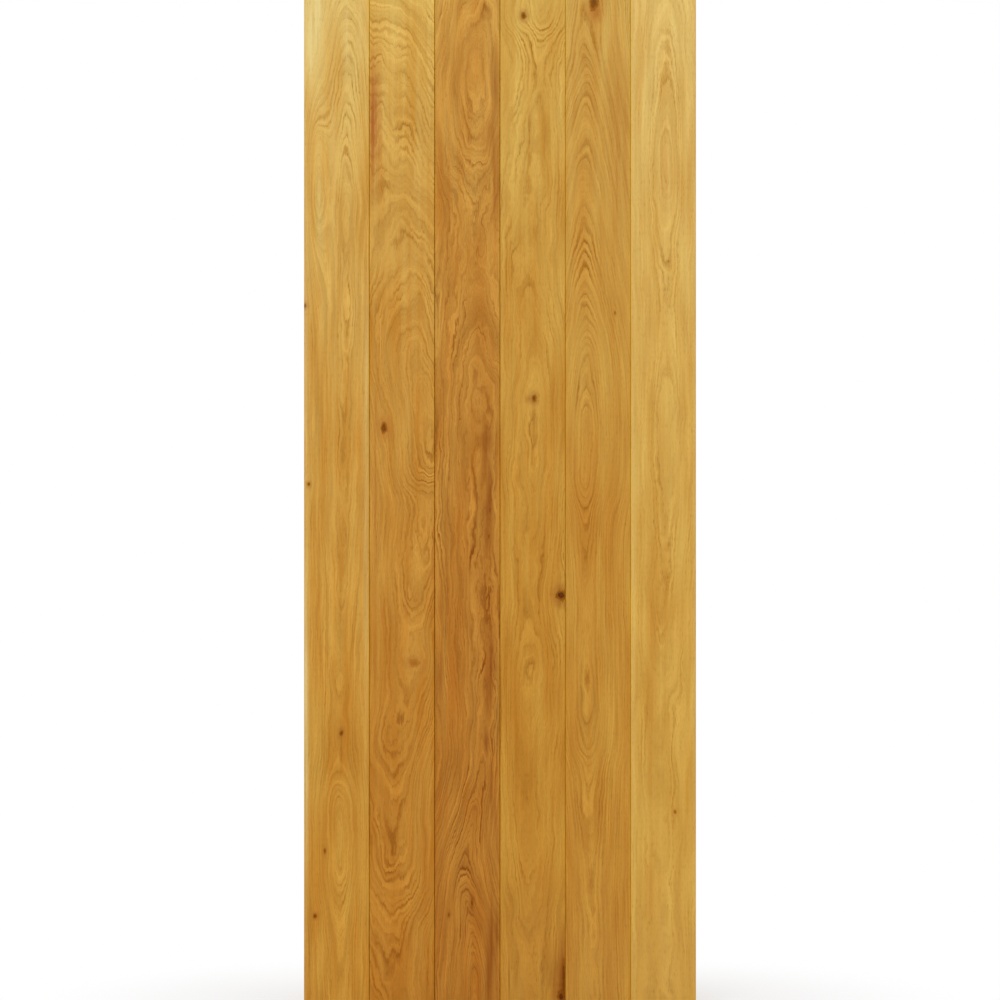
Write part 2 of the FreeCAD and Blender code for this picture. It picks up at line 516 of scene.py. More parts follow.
# %% [markdown]
# One oak for boards, ledges and braces
#
# Every timber on the door is the same oak cut another way, so one function makes all their materials.
# It is told which way the grain runs, where the middle of the timber lies and which face shows, and
# turns the place of a point into three distances in millimetres: across the grain, along it, and in
# from the face. A trunk is never straight, so curves drawn through a few heights say where the
# pith runs, how the trunk tapers and how tightly the arches are squeezed.

# %% Places, curves, hills and knots on a timber
MM = 1000.0
HILL_SOCKETS = ("Centre across", "Centre along", "Half width", "Half length", "Height", "Lean")
KNOT_SOCKETS = ("Centre across", "Centre along", "Half width", "Half length", "Darkness")
KNOT_MARKS = ("Push", "Heart", "Core", "Halo")


def grain_place(bench, grain, centre, face, inward):
    """Where a point lies on a timber, in mm: across the grain, along it, and in from the face."""
    x, y, z = bench.split(Wire(bench, bench.node("ShaderNodeTexCoord").outputs["Object"]))
    along = (x * grain.x + z * grain.z) * MM
    across = (x * grain.z - z * grain.x) * MM - (centre.x * grain.z - centre.z * grain.x) * MM
    depth = (y - face) * (inward * MM)
    return across, along, depth


def drawn_curve(bench, along, length, points, lowest, highest):
    """A value that follows a smooth curve along the grain, through (place, value) points in mm.

    One number in place of the points stays the same all along.
    """
    if not isinstance(points, list):
        return points
    node = bench.node("ShaderNodeFloatCurve", {"Value": along / length})
    curve = node.mapping.curves[0]
    while len(curve.points) < len(points):
        curve.points.new(0.5, 0.5)
    for spot, (place, value) in zip(curve.points, points):
        spot.location = (place / length, (value - lowest) / (highest - lowest))
    node.mapping.update()
    return Wire(bench, node.outputs[0]) * (highest - lowest) + lowest


def hills(bench, across, along, rows):
    """The sum of a list of hills, each with the values of the hill sockets. A hill may leave out its lean."""
    total = 0.0
    for row in rows:
        feeds = {"Across": across, "Along": along, **dict(zip(HILL_SOCKETS, row))}
        total = bench.place(hill_group, feeds)["Hill"] + total
    return total


def knot_marks(bench, across, along, rows):
    """The summed marks of a list of knots, each with the values of the knot sockets."""
    marks = dict.fromkeys(KNOT_MARKS, 0.0)
    for row in rows:
        knot = bench.place(knot_group, {"Across": across, "Along": along, **dict(zip(KNOT_SOCKETS, row))})
        marks = {name: knot[name] + total for name, total in marks.items()}
    return marks


print("a hill is given by:", ", ".join(HILL_SOCKETS).lower())

# %% [markdown]
# The material
#
# The function below wires one timber: its knots part the grain, its rings and fibre follow, and the
# oiled oak group turns them into the colour, roughness and height that a Principled shader needs. A
# bump is enough for pores, where real dents would cost millions of faces.

# %% Material: oak cut from one tree
CURVE_REACH = {             # the smallest and the largest value that each drawn curve can take
    "pith_across": (-200.0, 200.0),
    "pith_depth": (0.0, 200.0),
    "squeeze": (0.0, 4.0),
    "taper": (0.0, 300.0),
}
JOINT_SHADE_BAND = (60.6, 62.6)    # mm from the middle of a board over which the shade of a joint gets a painted warm tint
END_GRAIN = (0.6, 0.85)     # how far a face looks along the grain where it counts as end grain
HEAD_SHEEN_POWER = 2.4          # how much the painted light and sheen keep to the head of a board
BUMP_DISTANCE = 0.0004
BUMP_STRENGTH = 0.35
SPECULAR = 0.08             # low, because oiled oak is nearly matt


def clear_bench(owner):
    """The bench of a material or a world, cleared of its first nodes."""
    owner.use_nodes = True
    owner.node_tree.nodes.clear()
    return Bench(owner.node_tree)


def oak_material(name, grain, centre, face, inward, length, tree, scatter=0.0):
    """Oak with its grain along a direction, seen on a face, as a slice of the given tree.

    With a scatter, each separate island of the mesh is cut from another place across the tree.
    """
    material = bpy.data.materials.new(name)
    bench = clear_bench(material)
    across, along, depth = grain_place(bench, grain, centre, face, inward)
    geometry = bench.node("ShaderNodeNewGeometry")
    if scatter:
        across = across + Wire(bench, geometry.outputs["Random Per Island"]) * scatter

    marks = knot_marks(bench, across, along, tree["knots"])
    parted = across + marks["Push"]

    # A painted warm tint on the shade in each joint where the board has a neighbour
    joint = 0.0
    for side in tree["joints"]:
        joint = bench.step(across * side, *JOINT_SHADE_BAND) + joint

    curves = {
        trait: drawn_curve(bench, along, length, tree[trait], *reach)
        for trait, reach in CURVE_REACH.items()
    }
    place = {"Across": parted, "Along": along, "Depth": depth, "Seed": tree["seed"]}
    rings = bench.place(
        rings_group,
        {
            **place,
            "Pith across": curves["pith_across"],
            "Pith depth": curves["pith_depth"],
            "Swell": curves["taper"] + hills(bench, across, along, tree["swells"]),
            "Bold": hills(bench, across, along, tree["bold"]),
            "Ring width": tree["ring_width"],
            "Squeeze": curves["squeeze"],
            "Wander": tree["wander"],
        },
    )
    fibre = bench.place(fibre_group, place)
    normal = bench.split(Wire(bench, geometry.outputs["Normal"]))
    facing = bench.math("ABSOLUTE", normal[0] * grain.x + normal[2] * grain.z)
    oak = bench.place(
        surface_group,
        {
            **rings,
            **fibre,
            "Stain": hills(bench, across, along, tree["stains"]),
            # Pale hills: sapwood, with painted light at some highlights and at the foot
            "Sap and painted light": hills(bench, across, along, tree["sap"]),
            "Joint": joint,
            "Knot heart": marks["Heart"],
            "Knot core": marks["Core"],
            "Knot halo": marks["Halo"],
            "End grain": bench.step(facing, *END_GRAIN),
            # Painted light and sheen, growing towards the head
            "Head sheen share": bench.math("POWER", along / length, HEAD_SHEEN_POWER),
            "Head sheen tint": tree["bleached"],
            "Line strength": tree["line_strength"],
            "Streak strength": tree["streak_strength"],
            "Band strength": tree["band_strength"],
            "Sap and light tone": tone(*tree["sapwood"]),
            "Stain wood": tone(*tree["stain"]),
            "Summer wood": tone(*tree["summer"]),
            "Warm wood": tone(*tree["warm"]),
            "Spring wood": tone(*tree["spring"]),
        },
    )
    bump = bench.node(
        "ShaderNodeBump",
        {"Height": oak["Height"], "Distance": BUMP_DISTANCE, "Strength": BUMP_STRENGTH},
    )
    shader = bench.node(
        "ShaderNodeBsdfPrincipled",
        {
            "Base Color": oak["Colour"],
            "Roughness": oak["Roughness"],
            "Normal": Wire(bench, bump.outputs["Normal"]),
            "Specular IOR Level": SPECULAR,
        },
    )
    bench.node("ShaderNodeOutputMaterial", {"Surface": Wire(bench, shader.outputs["BSDF"])})
    return material


def dress(name, material):
    """Give a packed piece one material in place of its own."""
    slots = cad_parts[name].data.materials
    slots.clear()
    slots.append(material)


print(f"oak: bump up to {BUMP_DISTANCE * MM} mm deep, specular {SPECULAR}")

# %% [markdown]
# What the trees share
#
# Any tree here starts from the same values: a trunk that doesn't taper, arches a little squeezed, no
# knots, no stains and no painted sheen at the head. Each timber then says only what differs, which keeps
# the lists short.
#
# Places are millimetres, across from the middle of a timber and along its grain. A curve is a list of
# (place along, value), or one number where nothing changes. A stain, a pale hill of sapwood and painted
# light, a swell and a bold spot are hills: (across, along, half width, half length, height, lean). A knot
# is (across, along, half width, half length, darkness). Tones are red, green and blue as a screen shows
# them.

# %% A plain tree
PLAIN_TREE = {
    "bleached": (1, 1, 1, 1),
    "ring_width": 6.0,
    "squeeze": 1.3,
    "taper": 0.0,
    "wander": 0.7,
    "line_strength": 0.85,
    "streak_strength": 0.12,
    "band_strength": 0.16,
    "sapwood": (224, 188, 108),
    "stain": (158, 86, 26),
    "summer": (212, 156, 62),
    "warm": (190, 124, 38),
    "spring": (160, 94, 16),
    "swells": [],
    "bold": [],
    "knots": [],
    "stains": [],
    "sap": [],
    "joints": [],
}
board_trees = {}
back_trees = {}


def plant(trees, name, **growth):
    """Note how the tree of a timber grew, where it differs from the plain one."""
    trees[name] = {**PLAIN_TREE, **growth}
    print(f"{name}: {len(trees[name]['knots'])} knots, {len(trees[name]['stains'])} stains")


print("a tree has:", ", ".join(PLAIN_TREE))

# %% [markdown]
# Board 1: two crowns
#
# Near the head, two sets of arches stand side by side under a pale corner, part sapwood and part a
# painted highlight. A second pith would be false to the tree, so a swell lowers the rings beside the
# first one. Low down the pith comes close behind the face, which closes the rings into an eye.

# %% The growth of board 1
plant(
    board_trees,
    "board_1",
    seed=1.0,
    bleached=(1.23, 1.70, 3.4, 1),
    ring_width=6.5,
    squeeze=1.9,
    wander=1.0,
    line_strength=0.95,
    streak_strength=0.18,
    band_strength=0.2,
    sapwood=(236, 210, 136),
    stain=(158, 92, 28),
    summer=(220, 167, 70),
    warm=(196, 129, 38),
    spring=(170, 104, 20),
    pith_across=[(0, 4), (330, 5), (640, 6), (1000, 14), (1500, 20), (1981, 22)],
    pith_depth=[
        (0, 62), (170, 50), (330, 16), (500, 56), (640, 60), (900, 44), (1200, 30), (1520, 28), (1700, 48),
        (1981, 110),
    ],
    swells=[(-42, 1610, 24, 170, -84)],
    bold=[
        (20, 1765, 22, 90, 0.8), (-38, 1690, 20, 110, 0.1), (4, 330, 26, 110, -0.25), (10, 640, 14, 60, 0.3),
    ],
    knots=[
        (-62, 1368, 3.4, 4.6, 0.75), (-54, 1021, 3.2, 4.0, 0.75), (9, 537, 3.8, 6.0, 0.69),
        (-23, 308, 2.4, 6.0, 0.6), (-42, 182, 3.8, 4.6, 0.75),
    ],
    stains=[(9, 505, 2.0, 34, 0.5), (8, 796, 3, 60, 0.3)],
    # Pale hills: sapwood along the edges, and at the head a painted highlight
    sap=[
        (-60, 560, 5, 300, 0.7), (57, 900, 5, 300, 0.25), (58, 1250, 4, 160, 0.25), (-46, 1915, 18, 110, 0.7),
        (-60, 1300, 5, 300, 0.25), (-38, 1950, 4, 60, 0.6), (-52, 1870, 4, 50, 0.5), (-20, 1960, 26, 60, 0.3),
        (20, 1890, 5, 90, 0.3), (46, 1930, 4, 90, 0.3), (-8, 1700, 4, 110, 0.2), (-34, 1560, 4, 90, 0.25),
    ],
)

# %% [markdown]
# Board 2: swinging arches
#
# This is the liveliest figure on the door. Drawing every arch would take hundreds of lines. A pith that
# swings across the board, far behind the face, bends them all at once. A reddish stain runs down the
# joint at the head, and a knot sits left of the middle.

# %% The growth of board 2
plant(
    board_trees,
    "board_2",
    seed=2.0,
    bleached=(1.33, 1.95, 3.6, 1),
    squeeze=[(0, 1.8), (600, 1.8), (1050, 1.3), (1400, 1.0), (1981, 1.0)],
    taper=[(0, 0), (1480, 0), (1560, 4), (1981, 66)],
    wander=1.15,
    band_strength=0.18,
    stain=(178, 102, 40),
    summer=(210, 150, 59),
    warm=(186, 115, 30),
    spring=(158, 90, 12),
    pith_across=[
        (0, -10), (135, -22), (220, -14), (480, -19), (620, 4), (800, 24), (985, 46), (1080, 54),
        (1160, 46), (1290, 18), (1500, 8), (1620, -28), (1750, -48), (1981, -52),
    ],
    pith_depth=[
        (0, 194), (60, 190), (150, 180), (300, 142), (420, 134), (545, 104), (715, 98), (875, 76),
        (985, 70), (1090, 24), (1180, 30), (1300, 48), (1500, 92), (1620, 104), (1750, 116), (1981, 166),
    ],
    bold=[
        (-10, 1880, 50, 90, 0.2), (10, 1690, 45, 110, 0.1), (4, 1500, 34, 60, -0.2),
        (48, 1040, 24, 50, 0.9), (25, 796, 26, 60, 0.05), (-19, 490, 32, 60, 0.4),
        (-14, 230, 38, 90, 0.5), (-23, 131, 28, 50, 0.4),
    ],
    knots=[(-35, 1130, 6.6, 12.0, 0.76), (24, 674, 10.0, 8.5, 0.34)],
    stains=[
        (-56, 1730, 14, 120, 0.75), (-52, 1000, 1.6, 220, 0.4), (62, 880, 5, 80, 0.4), (24, 674, 12, 9, 0.4),
    ],
)

# %% [markdown]
# Board 3: dark and streaked
#
# Dark heartwood, with flames at the foot and a chain of mineral streaks down the right side. A steep
# taper draws the flames. The chain is a row of stains, each a little off the last, because one long
# stain would look like a painted stripe.

# %% The growth of board 3
plant(
    board_trees,
    "board_3",
    seed=3.0,
    bleached=(1.24, 1.56, 2.15, 1),
    ring_width=6.4,
    squeeze=[(0, 1.7), (440, 1.7), (700, 1.3), (1981, 1.3)],
    taper=[(0, 0), (60, 6), (440, 104), (560, 110), (1981, 110)],
    wander=1.4,
    line_strength=1.2,
    streak_strength=0.2,
    band_strength=0.26,
    sapwood=(214, 166, 84),
    stain=(146, 80, 20),
    summer=(206, 145, 58),
    warm=(177, 107, 30),
    spring=(144, 76, 8),
    pith_across=[
        (0, 12), (115, 11), (272, -4), (420, 20), (520, 34), (900, 30), (1300, 20), (1600, 12),
        (1797, 16), (1981, 30),
    ],
    pith_depth=[
        (0, 26), (440, 24), (560, 26), (700, 32), (1200, 44), (1400, 74), (1500, 80), (1600, 66),
        (1700, 46), (1797, 34), (1900, 42), (1981, 58),
    ],
    bold=[
        (-14, 800, 50, 700, 0.35), (12, 1660, 32, 60, 0.4), (16, 1835, 30, 70, -0.6),
        (-45, 990, 12, 140, 0.4), (8, 340, 32, 120, 0.4), (8, 120, 26, 60, 0.3),
    ],
    knots=[
        (44, 971, 2.0, 5.0, 0.5), (42, 920, 2.0, 5.0, 0.5), (9, 207, 2.4, 10.0, 0.65),
        (-36, 184, 2.2, 5.0, 0.55),
    ],
    stains=[
        (40, 1112, 10, 26, 0.5), (33, 1070, 6, 44, 0.5), (46, 1035, 9, 34, 0.4), (42, 985, 7, 34, 0.5),
        (38, 920, 8, 44, 0.4), (47, 690, 9, 50, 0.55), (42, 610, 8, 50, 0.5), (37, 520, 5, 24, 0.8),
        (50, 400, 6, 60, 0.5, -0.1), (52, 150, 10, 60, 0.7), (42, 60, 9, 70, 0.6), (-52, 640, 7, 50, 0.4),
        (54, 1800, 8, 60, 0.4), (46, 1700, 12, 40, 0.35), (56, 1600, 6, 90, 0.4),
    ],
)

# %% [markdown]
# Board 4: calm, with the largest knot
#
# The largest knot touches the joint, and the next board starts clean beside it. Each board has its own
# material, so the knot stops at the joint by itself. The bark seam at the foot is a long narrow knot
# with stains round it.

# %% The growth of board 4
plant(
    board_trees,
    "board_4",
    seed=4.0,
    bleached=(1.19, 1.56, 2.7, 1),
    ring_width=6.4,
    squeeze=1.2,
    wander=1.1,
    line_strength=0.82,
    sapwood=(222, 180, 92),
    stain=(150, 84, 22),
    summer=(214, 159, 62),
    warm=(190, 123, 34),
    spring=(164, 99, 16),
    pith_across=[(0, 0), (400, -8), (700, -4), (980, -6), (1190, 2), (1500, -10), (1800, 12), (1981, 16)],
    pith_depth=[
        (0, 70), (300, 48), (560, 30), (660, 26), (780, 40), (960, 38), (1080, 24), (1200, 30), (1450, 52),
        (1700, 60), (1830, 74), (1930, 34), (1981, 24),
    ],
    knots=[
        (-17, 1932, 5.6, 7.0, 0.75), (3, 1188, 4.8, 6.6, 0.74), (55, 805, 9.6, 12.5, 0.94),
        (60, 62, 3.6, 40.0, 0.75), (55, 27, 7.4, 13.0, 0.9),
    ],
    bold=[(14, 1885, 38, 50, 0.9), (0, 1060, 34, 60, 0.5), (14, 800, 40, 90, 0.5), (-4, 720, 24, 50, 0.4)],
    stains=[
        (-46, 50, 0.9, 50, 0.7), (44, 66, 18, 50, 0.45), (56, 60, 7, 60, 0.5), (2, 1150, 4, 40, 0.35),
        (-7, 1187, 8, 8, 0.45),
    ],
    # The wide pale hill at the foot is painted light, lifting the foot where the floor shades it
    sap=[(-60, 1500, 4, 500, 0.25), (-6, 60, 70, 210, 0.16)],
)

# %% [markdown]
# Board 5: a ladder of arches
#
# The pith keeps close behind the face, left of the middle, while the trunk tapers, so the arches stand
# above each other like rungs. A taper draws them, because a changing depth would widen them as well.

# %% The growth of board 5
plant(
    board_trees,
    "board_5",
    seed=5.0,
    bleached=(1.09, 1.34, 2.1, 1),
    ring_width=6.5,
    squeeze=1.5,
    taper=[
        (0, 70), (440, 68), (540, 44), (930, 40), (1050, 14), (1200, 20), (1360, 56), (1500, 92), (1620, 116),
        (1740, 150), (1860, 186), (1981, 206),
    ],
    line_strength=0.9,
    streak_strength=0.1,
    band_strength=0.15,
    sapwood=(222, 180, 100),
    stain=(176, 104, 36),
    summer=(216, 162, 66),
    warm=(194, 129, 42),
    spring=(166, 101, 18),
    pith_across=[(0, -8), (500, -20), (900, -24), (1200, -22), (1600, -26), (1981, -20)],
    pith_depth=[(0, 46), (500, 26), (1000, 24), (1400, 24), (1981, 30)],
    bold=[
        (-26, 1790, 26, 90, 0.55), (-26, 1460, 26, 110, 0.6), (-22, 990, 22, 60, 0.5),
        (-22, 490, 22, 60, 0.5), (40, 300, 20, 260, 0.3),
    ],
    knots=[(-8, 1958, 9.5, 18.0, 0.74), (33, 1354, 2.0, 4.0, 0.45)],
    stains=[(44, 1640, 16, 160, 0.25), (-22, 330, 4, 30, 0.3), (-6, 1936, 12, 18, 0.35)],
    # The wide pale hill at the foot is painted light, lifting the foot where the floor shades it
    sap=[(0, 40, 70, 200, 0.12)],
)

# %% [markdown]
# Board 6: the palest
#
# A pale, quiet board with weak lines and sapwood down both edges. Near the head the pith comes within a
# few millimetres of the face, and the slice shows an oval eye.

# %% The growth of board 6
plant(
    board_trees,
    "board_6",
    seed=6.0,
    bleached=(1.15, 1.40, 2.45, 1),
    ring_width=7.0,
    wander=1.0,
    line_strength=0.42,
    streak_strength=0.08,
    band_strength=0.12,
    sapwood=(226, 190, 108),
    stain=(190, 122, 40),
    summer=(228, 182, 84),
    warm=(206, 149, 56),
    spring=(182, 119, 28),
    pith_across=[(0, -8), (600, -6), (1000, 4), (1500, 6), (1981, 0)],
    pith_depth=[
        (0, 66), (500, 58), (900, 36), (1150, 26), (1330, 38), (1545, 22), (1632, 6), (1729, 21), (1830, 36),
        (1981, 56),
    ],
    bold=[(4, 1632, 28, 120, 0.4), (2, 1420, 16, 110, 0.25), (4, 860, 24, 120, 0.3)],
    knots=[(23, 384, 2.8, 4.6, 0.6)],
    stains=[
        (4, 1632, 13, 70, 0.3), (4, 1330, 6, 70, 0.16), (3, 830, 7, 150, 0.2), (-20, 720, 7, 170, 0.28),
        (-26, 240, 9, 70, 0.32), (-28, 520, 5, 120, 0.2), (10, 1880, 5, 60, 0.15),
    ],
    # Sapwood down both edges; the wide pale hill at the foot is painted light, lifting the foot where the
    # floor shades it
    sap=[(-59, 900, 5, 900, 0.45), (60, 700, 4, 500, 0.3), (0, 60, 70, 220, 0.22)],
)

# %% [markdown]
# Finish the boards
#
# The six boards differ only in their trees, so one loop makes and gives out their materials. A board
# has a joint on each side where it has a neighbour, and the shade in that joint gets a painted warm tint.

# %% Give each board its oak
UP = Vector((0, 0, 1))
board_count = len(board_trees)
board_middles = [leaf_low.x + leaf_width * (place + 0.5) / board_count for place in range(board_count)]
for place, (name, tree) in enumerate(board_trees.items()):
    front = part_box(name)[0].y
    middle = Vector((board_middles[place], 0, 0))
    tree["joints"] = [side for side in (-1, 1) if 0 <= place + side < board_count]
    dress(name, oak_material(f"{name}_oak", UP, middle, front, 1.0, leaf_height * MM, tree))
print("boards finished:", board_count)

# %% [markdown]
# Ledges and braces
#
# The hidden side is cut from the same stack of oak, so these pieces reuse the board material with their
# grain turned: along the leaf on a ledge, along the slope on a brace. Each has its own tone, as timbers
# from one stack do.

# %% The growth of the ledges and braces
plant(
    back_trees,
    "bottom_ledge",
    seed=11.0,
    summer=(208, 151, 58),
    warm=(184, 118, 34),
    pith_across=[(0, 20), (400, -10), (800, 5)],
    pith_depth=[(0, 60), (300, 22), (800, 70)],
    knots=[(34, 196, 3.0, 4.2, 0.65)],
)
plant(
    back_trees,
    "middle_ledge",
    seed=12.0,
    summer=(214, 160, 66),
    warm=(194, 129, 42),
    pith_across=[(0, -30), (400, -20), (800, -34)],
    pith_depth=[(0, 34), (450, 60), (800, 40)],
)
plant(
    back_trees,
    "top_ledge",
    seed=13.0,
    summer=(206, 148, 58),
    warm=(180, 113, 34),
    pith_across=[(0, 5), (400, 16), (800, 0)],
    pith_depth=[(0, 80), (500, 24), (800, 40)],
    knots=[(-22, 566, 4.6, 6.4, 0.8)],
)
plant(
    back_trees,
    "lower_brace",
    seed=14.0,
    summer=(222, 170, 76),
    warm=(202, 141, 52),
    pith_across=[(0, 8), (600, -6), (1200, 10)],
    pith_depth=[(0, 24), (600, 60), (1200, 30)],
)
plant(
    back_trees,
    "upper_brace",
    seed=15.0,
    summer=(216, 161, 68),
    warm=(196, 130, 44),
    pith_across=[(0, -14), (900, -4), (1900, -14)],
    pith_depth=[(0, 60), (1100, 26), (1900, 64)],
)

# %% [markdown]
# Which way the grain runs
#
# A sawyer cuts a timber along the trunk, so its grain runs with its longest edge. The direction is
# measured on the packed piece, because a typed angle would be wrong as soon as the leaf has another
# size.

# %% Give the ledges and braces their oak
TOUCHING = 1e-6             # metres: closer than this counts as the same place
TRUNK_MM = 2000.0           # the length of trunk that their curves are drawn on


def grain_of(node):
    """The direction of the longest edge of a piece, which is the way its grain runs."""
    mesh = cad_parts[node].data
    edges = [mesh.vertices[e.vertices[1]].co - mesh.vertices[e.vertices[0]].co for e in mesh.edges]
    longest = max((edge for edge in edges if abs(edge.y) < TOUCHING), key=lambda edge: edge.length)
    direction = longest.normalized()
    return direction if direction.x > 0 else -direction


for name, tree in back_trees.items():
    low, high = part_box(name)
    grain = grain_of(name)
    dress(name, oak_material(f"{name}_oak", grain, (low + high) / 2, high.y, -1.0, TRUNK_MM, tree))
    print(f"{name}: grain along {grain.x:.3f}, {grain.z:.3f}")

# %% [markdown]
# Easing the sharp edges
#
# A joiner takes the sharp edge off every timber with a few strokes of sandpaper, and where two eased
# edges meet, as a brace meets its notch, they leave a fine dark line. The packed solids have razor
# edges. A Bevel modifier could round them, but a packed piece keeps its shape, so each ledge and brace
# is copied, the corners of the copy are welded and its outward edges are rounded. The edges that press
# on the boards stay sharp.

# %% Ease the edges of the ledges and braces
EASE = 0.0008               # how far back from an edge the easing starts
EASE_STEPS = 2
FLAT_ANGLE = math.radians(1)


def add_piece(name, mesh, materials):
    """A new object in the scene, from a mesh under construction."""
    made = bpy.data.meshes.new(name)
    mesh.to_mesh(made)
    mesh.free()
    for material in materials:
        made.materials.append(material)
    piece = bpy.data.objects.new(name, made)
    bpy.context.scene.collection.objects.link(piece)
    return piece


def eased_copy(name):
    """A copy of a ledge or brace with its outward edges eased, which shows in place of the packed one."""
    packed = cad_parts[name]
    mesh = bmesh.new()
    mesh.from_mesh(packed.data)
    bmesh.ops.remove_doubles(mesh, verts=mesh.verts, dist=TOUCHING)
    bmesh.ops.dissolve_limit(mesh, angle_limit=FLAT_ANGLE, verts=mesh.verts, edges=mesh.edges)
    against_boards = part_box(name)[0].y + TOUCHING
    arrises = [
        edge
        for edge in mesh.edges
        if edge.is_convex and max(vertex.co.y for vertex in edge.verts) > against_boards
    ]
    bmesh.ops.bevel(mesh, geom=arrises, offset=EASE, segments=EASE_STEPS, profile=0.5, affect="EDGES")
    count = len(arrises)
    eased = add_piece(f"{name}_eased", mesh, packed.data.materials)
    eased.matrix_world = packed.matrix_world
    return eased, count


for name in back_trees:
    eased, count = eased_copy(name)
    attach(eased, "root")
    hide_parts(name)
    print(f"{name}: {count} edges eased, {len(eased.data.polygons)} faces")

# %% [markdown]
# Pellets over the screws
#
# Screws through the ledges and braces hold every board. Each sits in a counterbore that is plugged with
# a pellet, a short cross grain plug cut from oak scraps, glued in and planed almost flush. A pellet is
# turned here from a short profile, with its rim eased and a hairline of dark glue round it, and all
# pellets of one timber are joined.

# %% Turn a pellet
PELLET_RADIUS = 0.0064
PELLET_PROUD = 0.00025      # how far a pellet stands above the timber
PELLET_SUNK = 0.0012        # how far it reaches into the timber
PELLET_EASE = 0.0004
GLUE_LINE = 0.00035
GLUE_PROUD = 0.00005        # how far the glue stands above the timber
PELLET_SIDES = 40


def turned_pellet(mesh, x, z, face):
    """Add one pellet to a mesh: a plug a little proud of a back face, with a glue line round it."""
    profile = [                 # radius, height above the face, material: 0 oak, 1 glue
        (PELLET_RADIUS + GLUE_LINE, -PELLET_SUNK, 1),
        (PELLET_RADIUS + GLUE_LINE, GLUE_PROUD, 1),
        (PELLET_RADIUS, GLUE_PROUD, 0),
        (PELLET_RADIUS - PELLET_EASE * 0.3, PELLET_PROUD * 0.75, 0),    # halfway round the eased rim
        (PELLET_RADIUS - PELLET_EASE, PELLET_PROUD, 0),
    ]
    turns = [math.tau * step / PELLET_SIDES for step in range(PELLET_SIDES)]
    loops = []
    for radius, rise, _ in profile:
        rim = [(x + radius * math.cos(turn), face + rise, z + radius * math.sin(turn)) for turn in turns]
        loops.append([mesh.verts.new(spot) for spot in rim])
    for (lower, upper), (_, _, slot) in zip(zip(loops, loops[1:]), profile):
        for step in range(PELLET_SIDES):
            after = (step + 1) % PELLET_SIDES
            wall = mesh.faces.new((lower[step], upper[step], upper[after], lower[after]))
            wall.material_index = slot
    mesh.faces.new(loops[-1][::-1])
    mesh.faces.new(loops[0]).material_index = 1


print(f"a pellet is {2 * PELLET_RADIUS * MM:.1f} mm across")

# %% [markdown]
# Where the screws go
#
# A joiner sets two screws in every board and staggers them, because two in one line of grain would
# split the ledge. The places are worked out from the boards and timbers and not typed in, so they keep
# to the middle of each board whatever the size of the leaf.

# %% Places of the screws
SCREW_SIDE = 0.022          # to each side of the middle of a board, on a ledge
SCREW_RISE = 0.033          # above and below the middle of a ledge
SCREW_END = 0.050           # least distance from the end of a ledge
BRACE_SCREW_SIDE = 0.024    # to each side of the middle of a brace
TOE_SCREW = (0.045, 0.026)  # along and across the brace from its heel


def ledge_screws(name):
    """Two screws a board, staggered about the middle of the ledge."""
    low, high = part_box(name)
    middle = (low.z + high.z) / 2
    spots = []
    for x in board_middles:
        x = min(max(x, low.x + SCREW_END), high.x - SCREW_END)
        spots += [(x - SCREW_SIDE, middle + SCREW_RISE), (x + SCREW_SIDE, middle - SCREW_RISE)]
    return spots


def brace_screws(name):
    """Two screws where the brace crosses the middle of a board, and one in each toe."""
    low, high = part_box(name)
    middle = (low + high) / 2
    grain = grain_of(name)
    square = Vector((grain.z, 0, -grain.x))
    heel = min((vertex.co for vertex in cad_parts[name].data.vertices), key=lambda spot: spot.x)
    toe = heel + grain * TOE_SCREW[0] + square * TOE_SCREW[1]
    spots = [toe, middle * 2 - toe]
    for x in board_middles[1:-1]:
        crossing = middle + grain * ((x - middle.x) / grain.x)
        spots += [crossing + square * BRACE_SCREW_SIDE, crossing - square * BRACE_SCREW_SIDE]
    return [(spot.x, spot.z) for spot in spots]


print(f"screws in a ledge: {len(ledge_screws('top_ledge'))}, in a brace: {len(brace_screws('upper_brace'))}")

# %% [markdown]
# Set the pellets
#
# The pellets of one timber make one piece, with oak in the first material slot and glue in the second.
# They are cut from scraps of other trees: the scatter takes each pellet from its own place, so no two
# look alike and none carries on the grain of the timber.

# %% Pellets on every ledge and brace
PELLET_SEED = 20.0          # from the seed of a timber to that of its pellets
PELLET_SCATTER = 300.0      # mm across the tree from which they are cut

pellet_total = 0
for name, timber_tree in back_trees.items():
    is_ledge = name.endswith("ledge")
    low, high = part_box(name)
    spots = ledge_screws(name) if is_ledge else brace_screws(name)
    mesh = bmesh.new()
    for x, z in spots:
        turned_pellet(mesh, x, z, high.y)
    bmesh.ops.recalc_face_normals(mesh, faces=mesh.faces)
    tree = {
        **PLAIN_TREE,
        "seed": timber_tree["seed"] + PELLET_SEED,
        "pith_across": 0.0,
        "pith_depth": 30.0,
    }
    glue_tree = {**tree, "summer": (120, 72, 26), "warm": (104, 60, 20), "spring": (82, 46, 14)}
    grain = grain_of(name)
    middle = (low + high) / 2
    oaks = [
        oak_material(f"{name}_{finish}", grain, middle, high.y, -1.0, TRUNK_MM, cut_from, PELLET_SCATTER)
        for finish, cut_from in (("pellet_oak", tree), ("glue_line", glue_tree))
    ]
    pellets = add_piece(f"{name}_pellets", mesh, oaks)
    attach(pellets, "root")
    pellet_total += len(spots)
print("pellets set:", pellet_total)

# %% [markdown]
# A white world
#
# The picture has a plain white ground. The world is pure white where the camera or a reflection looks
# at it, and a gentler grey as light, so the ground stays white without washing out the oak. A Light
# Path node tells the two apart.

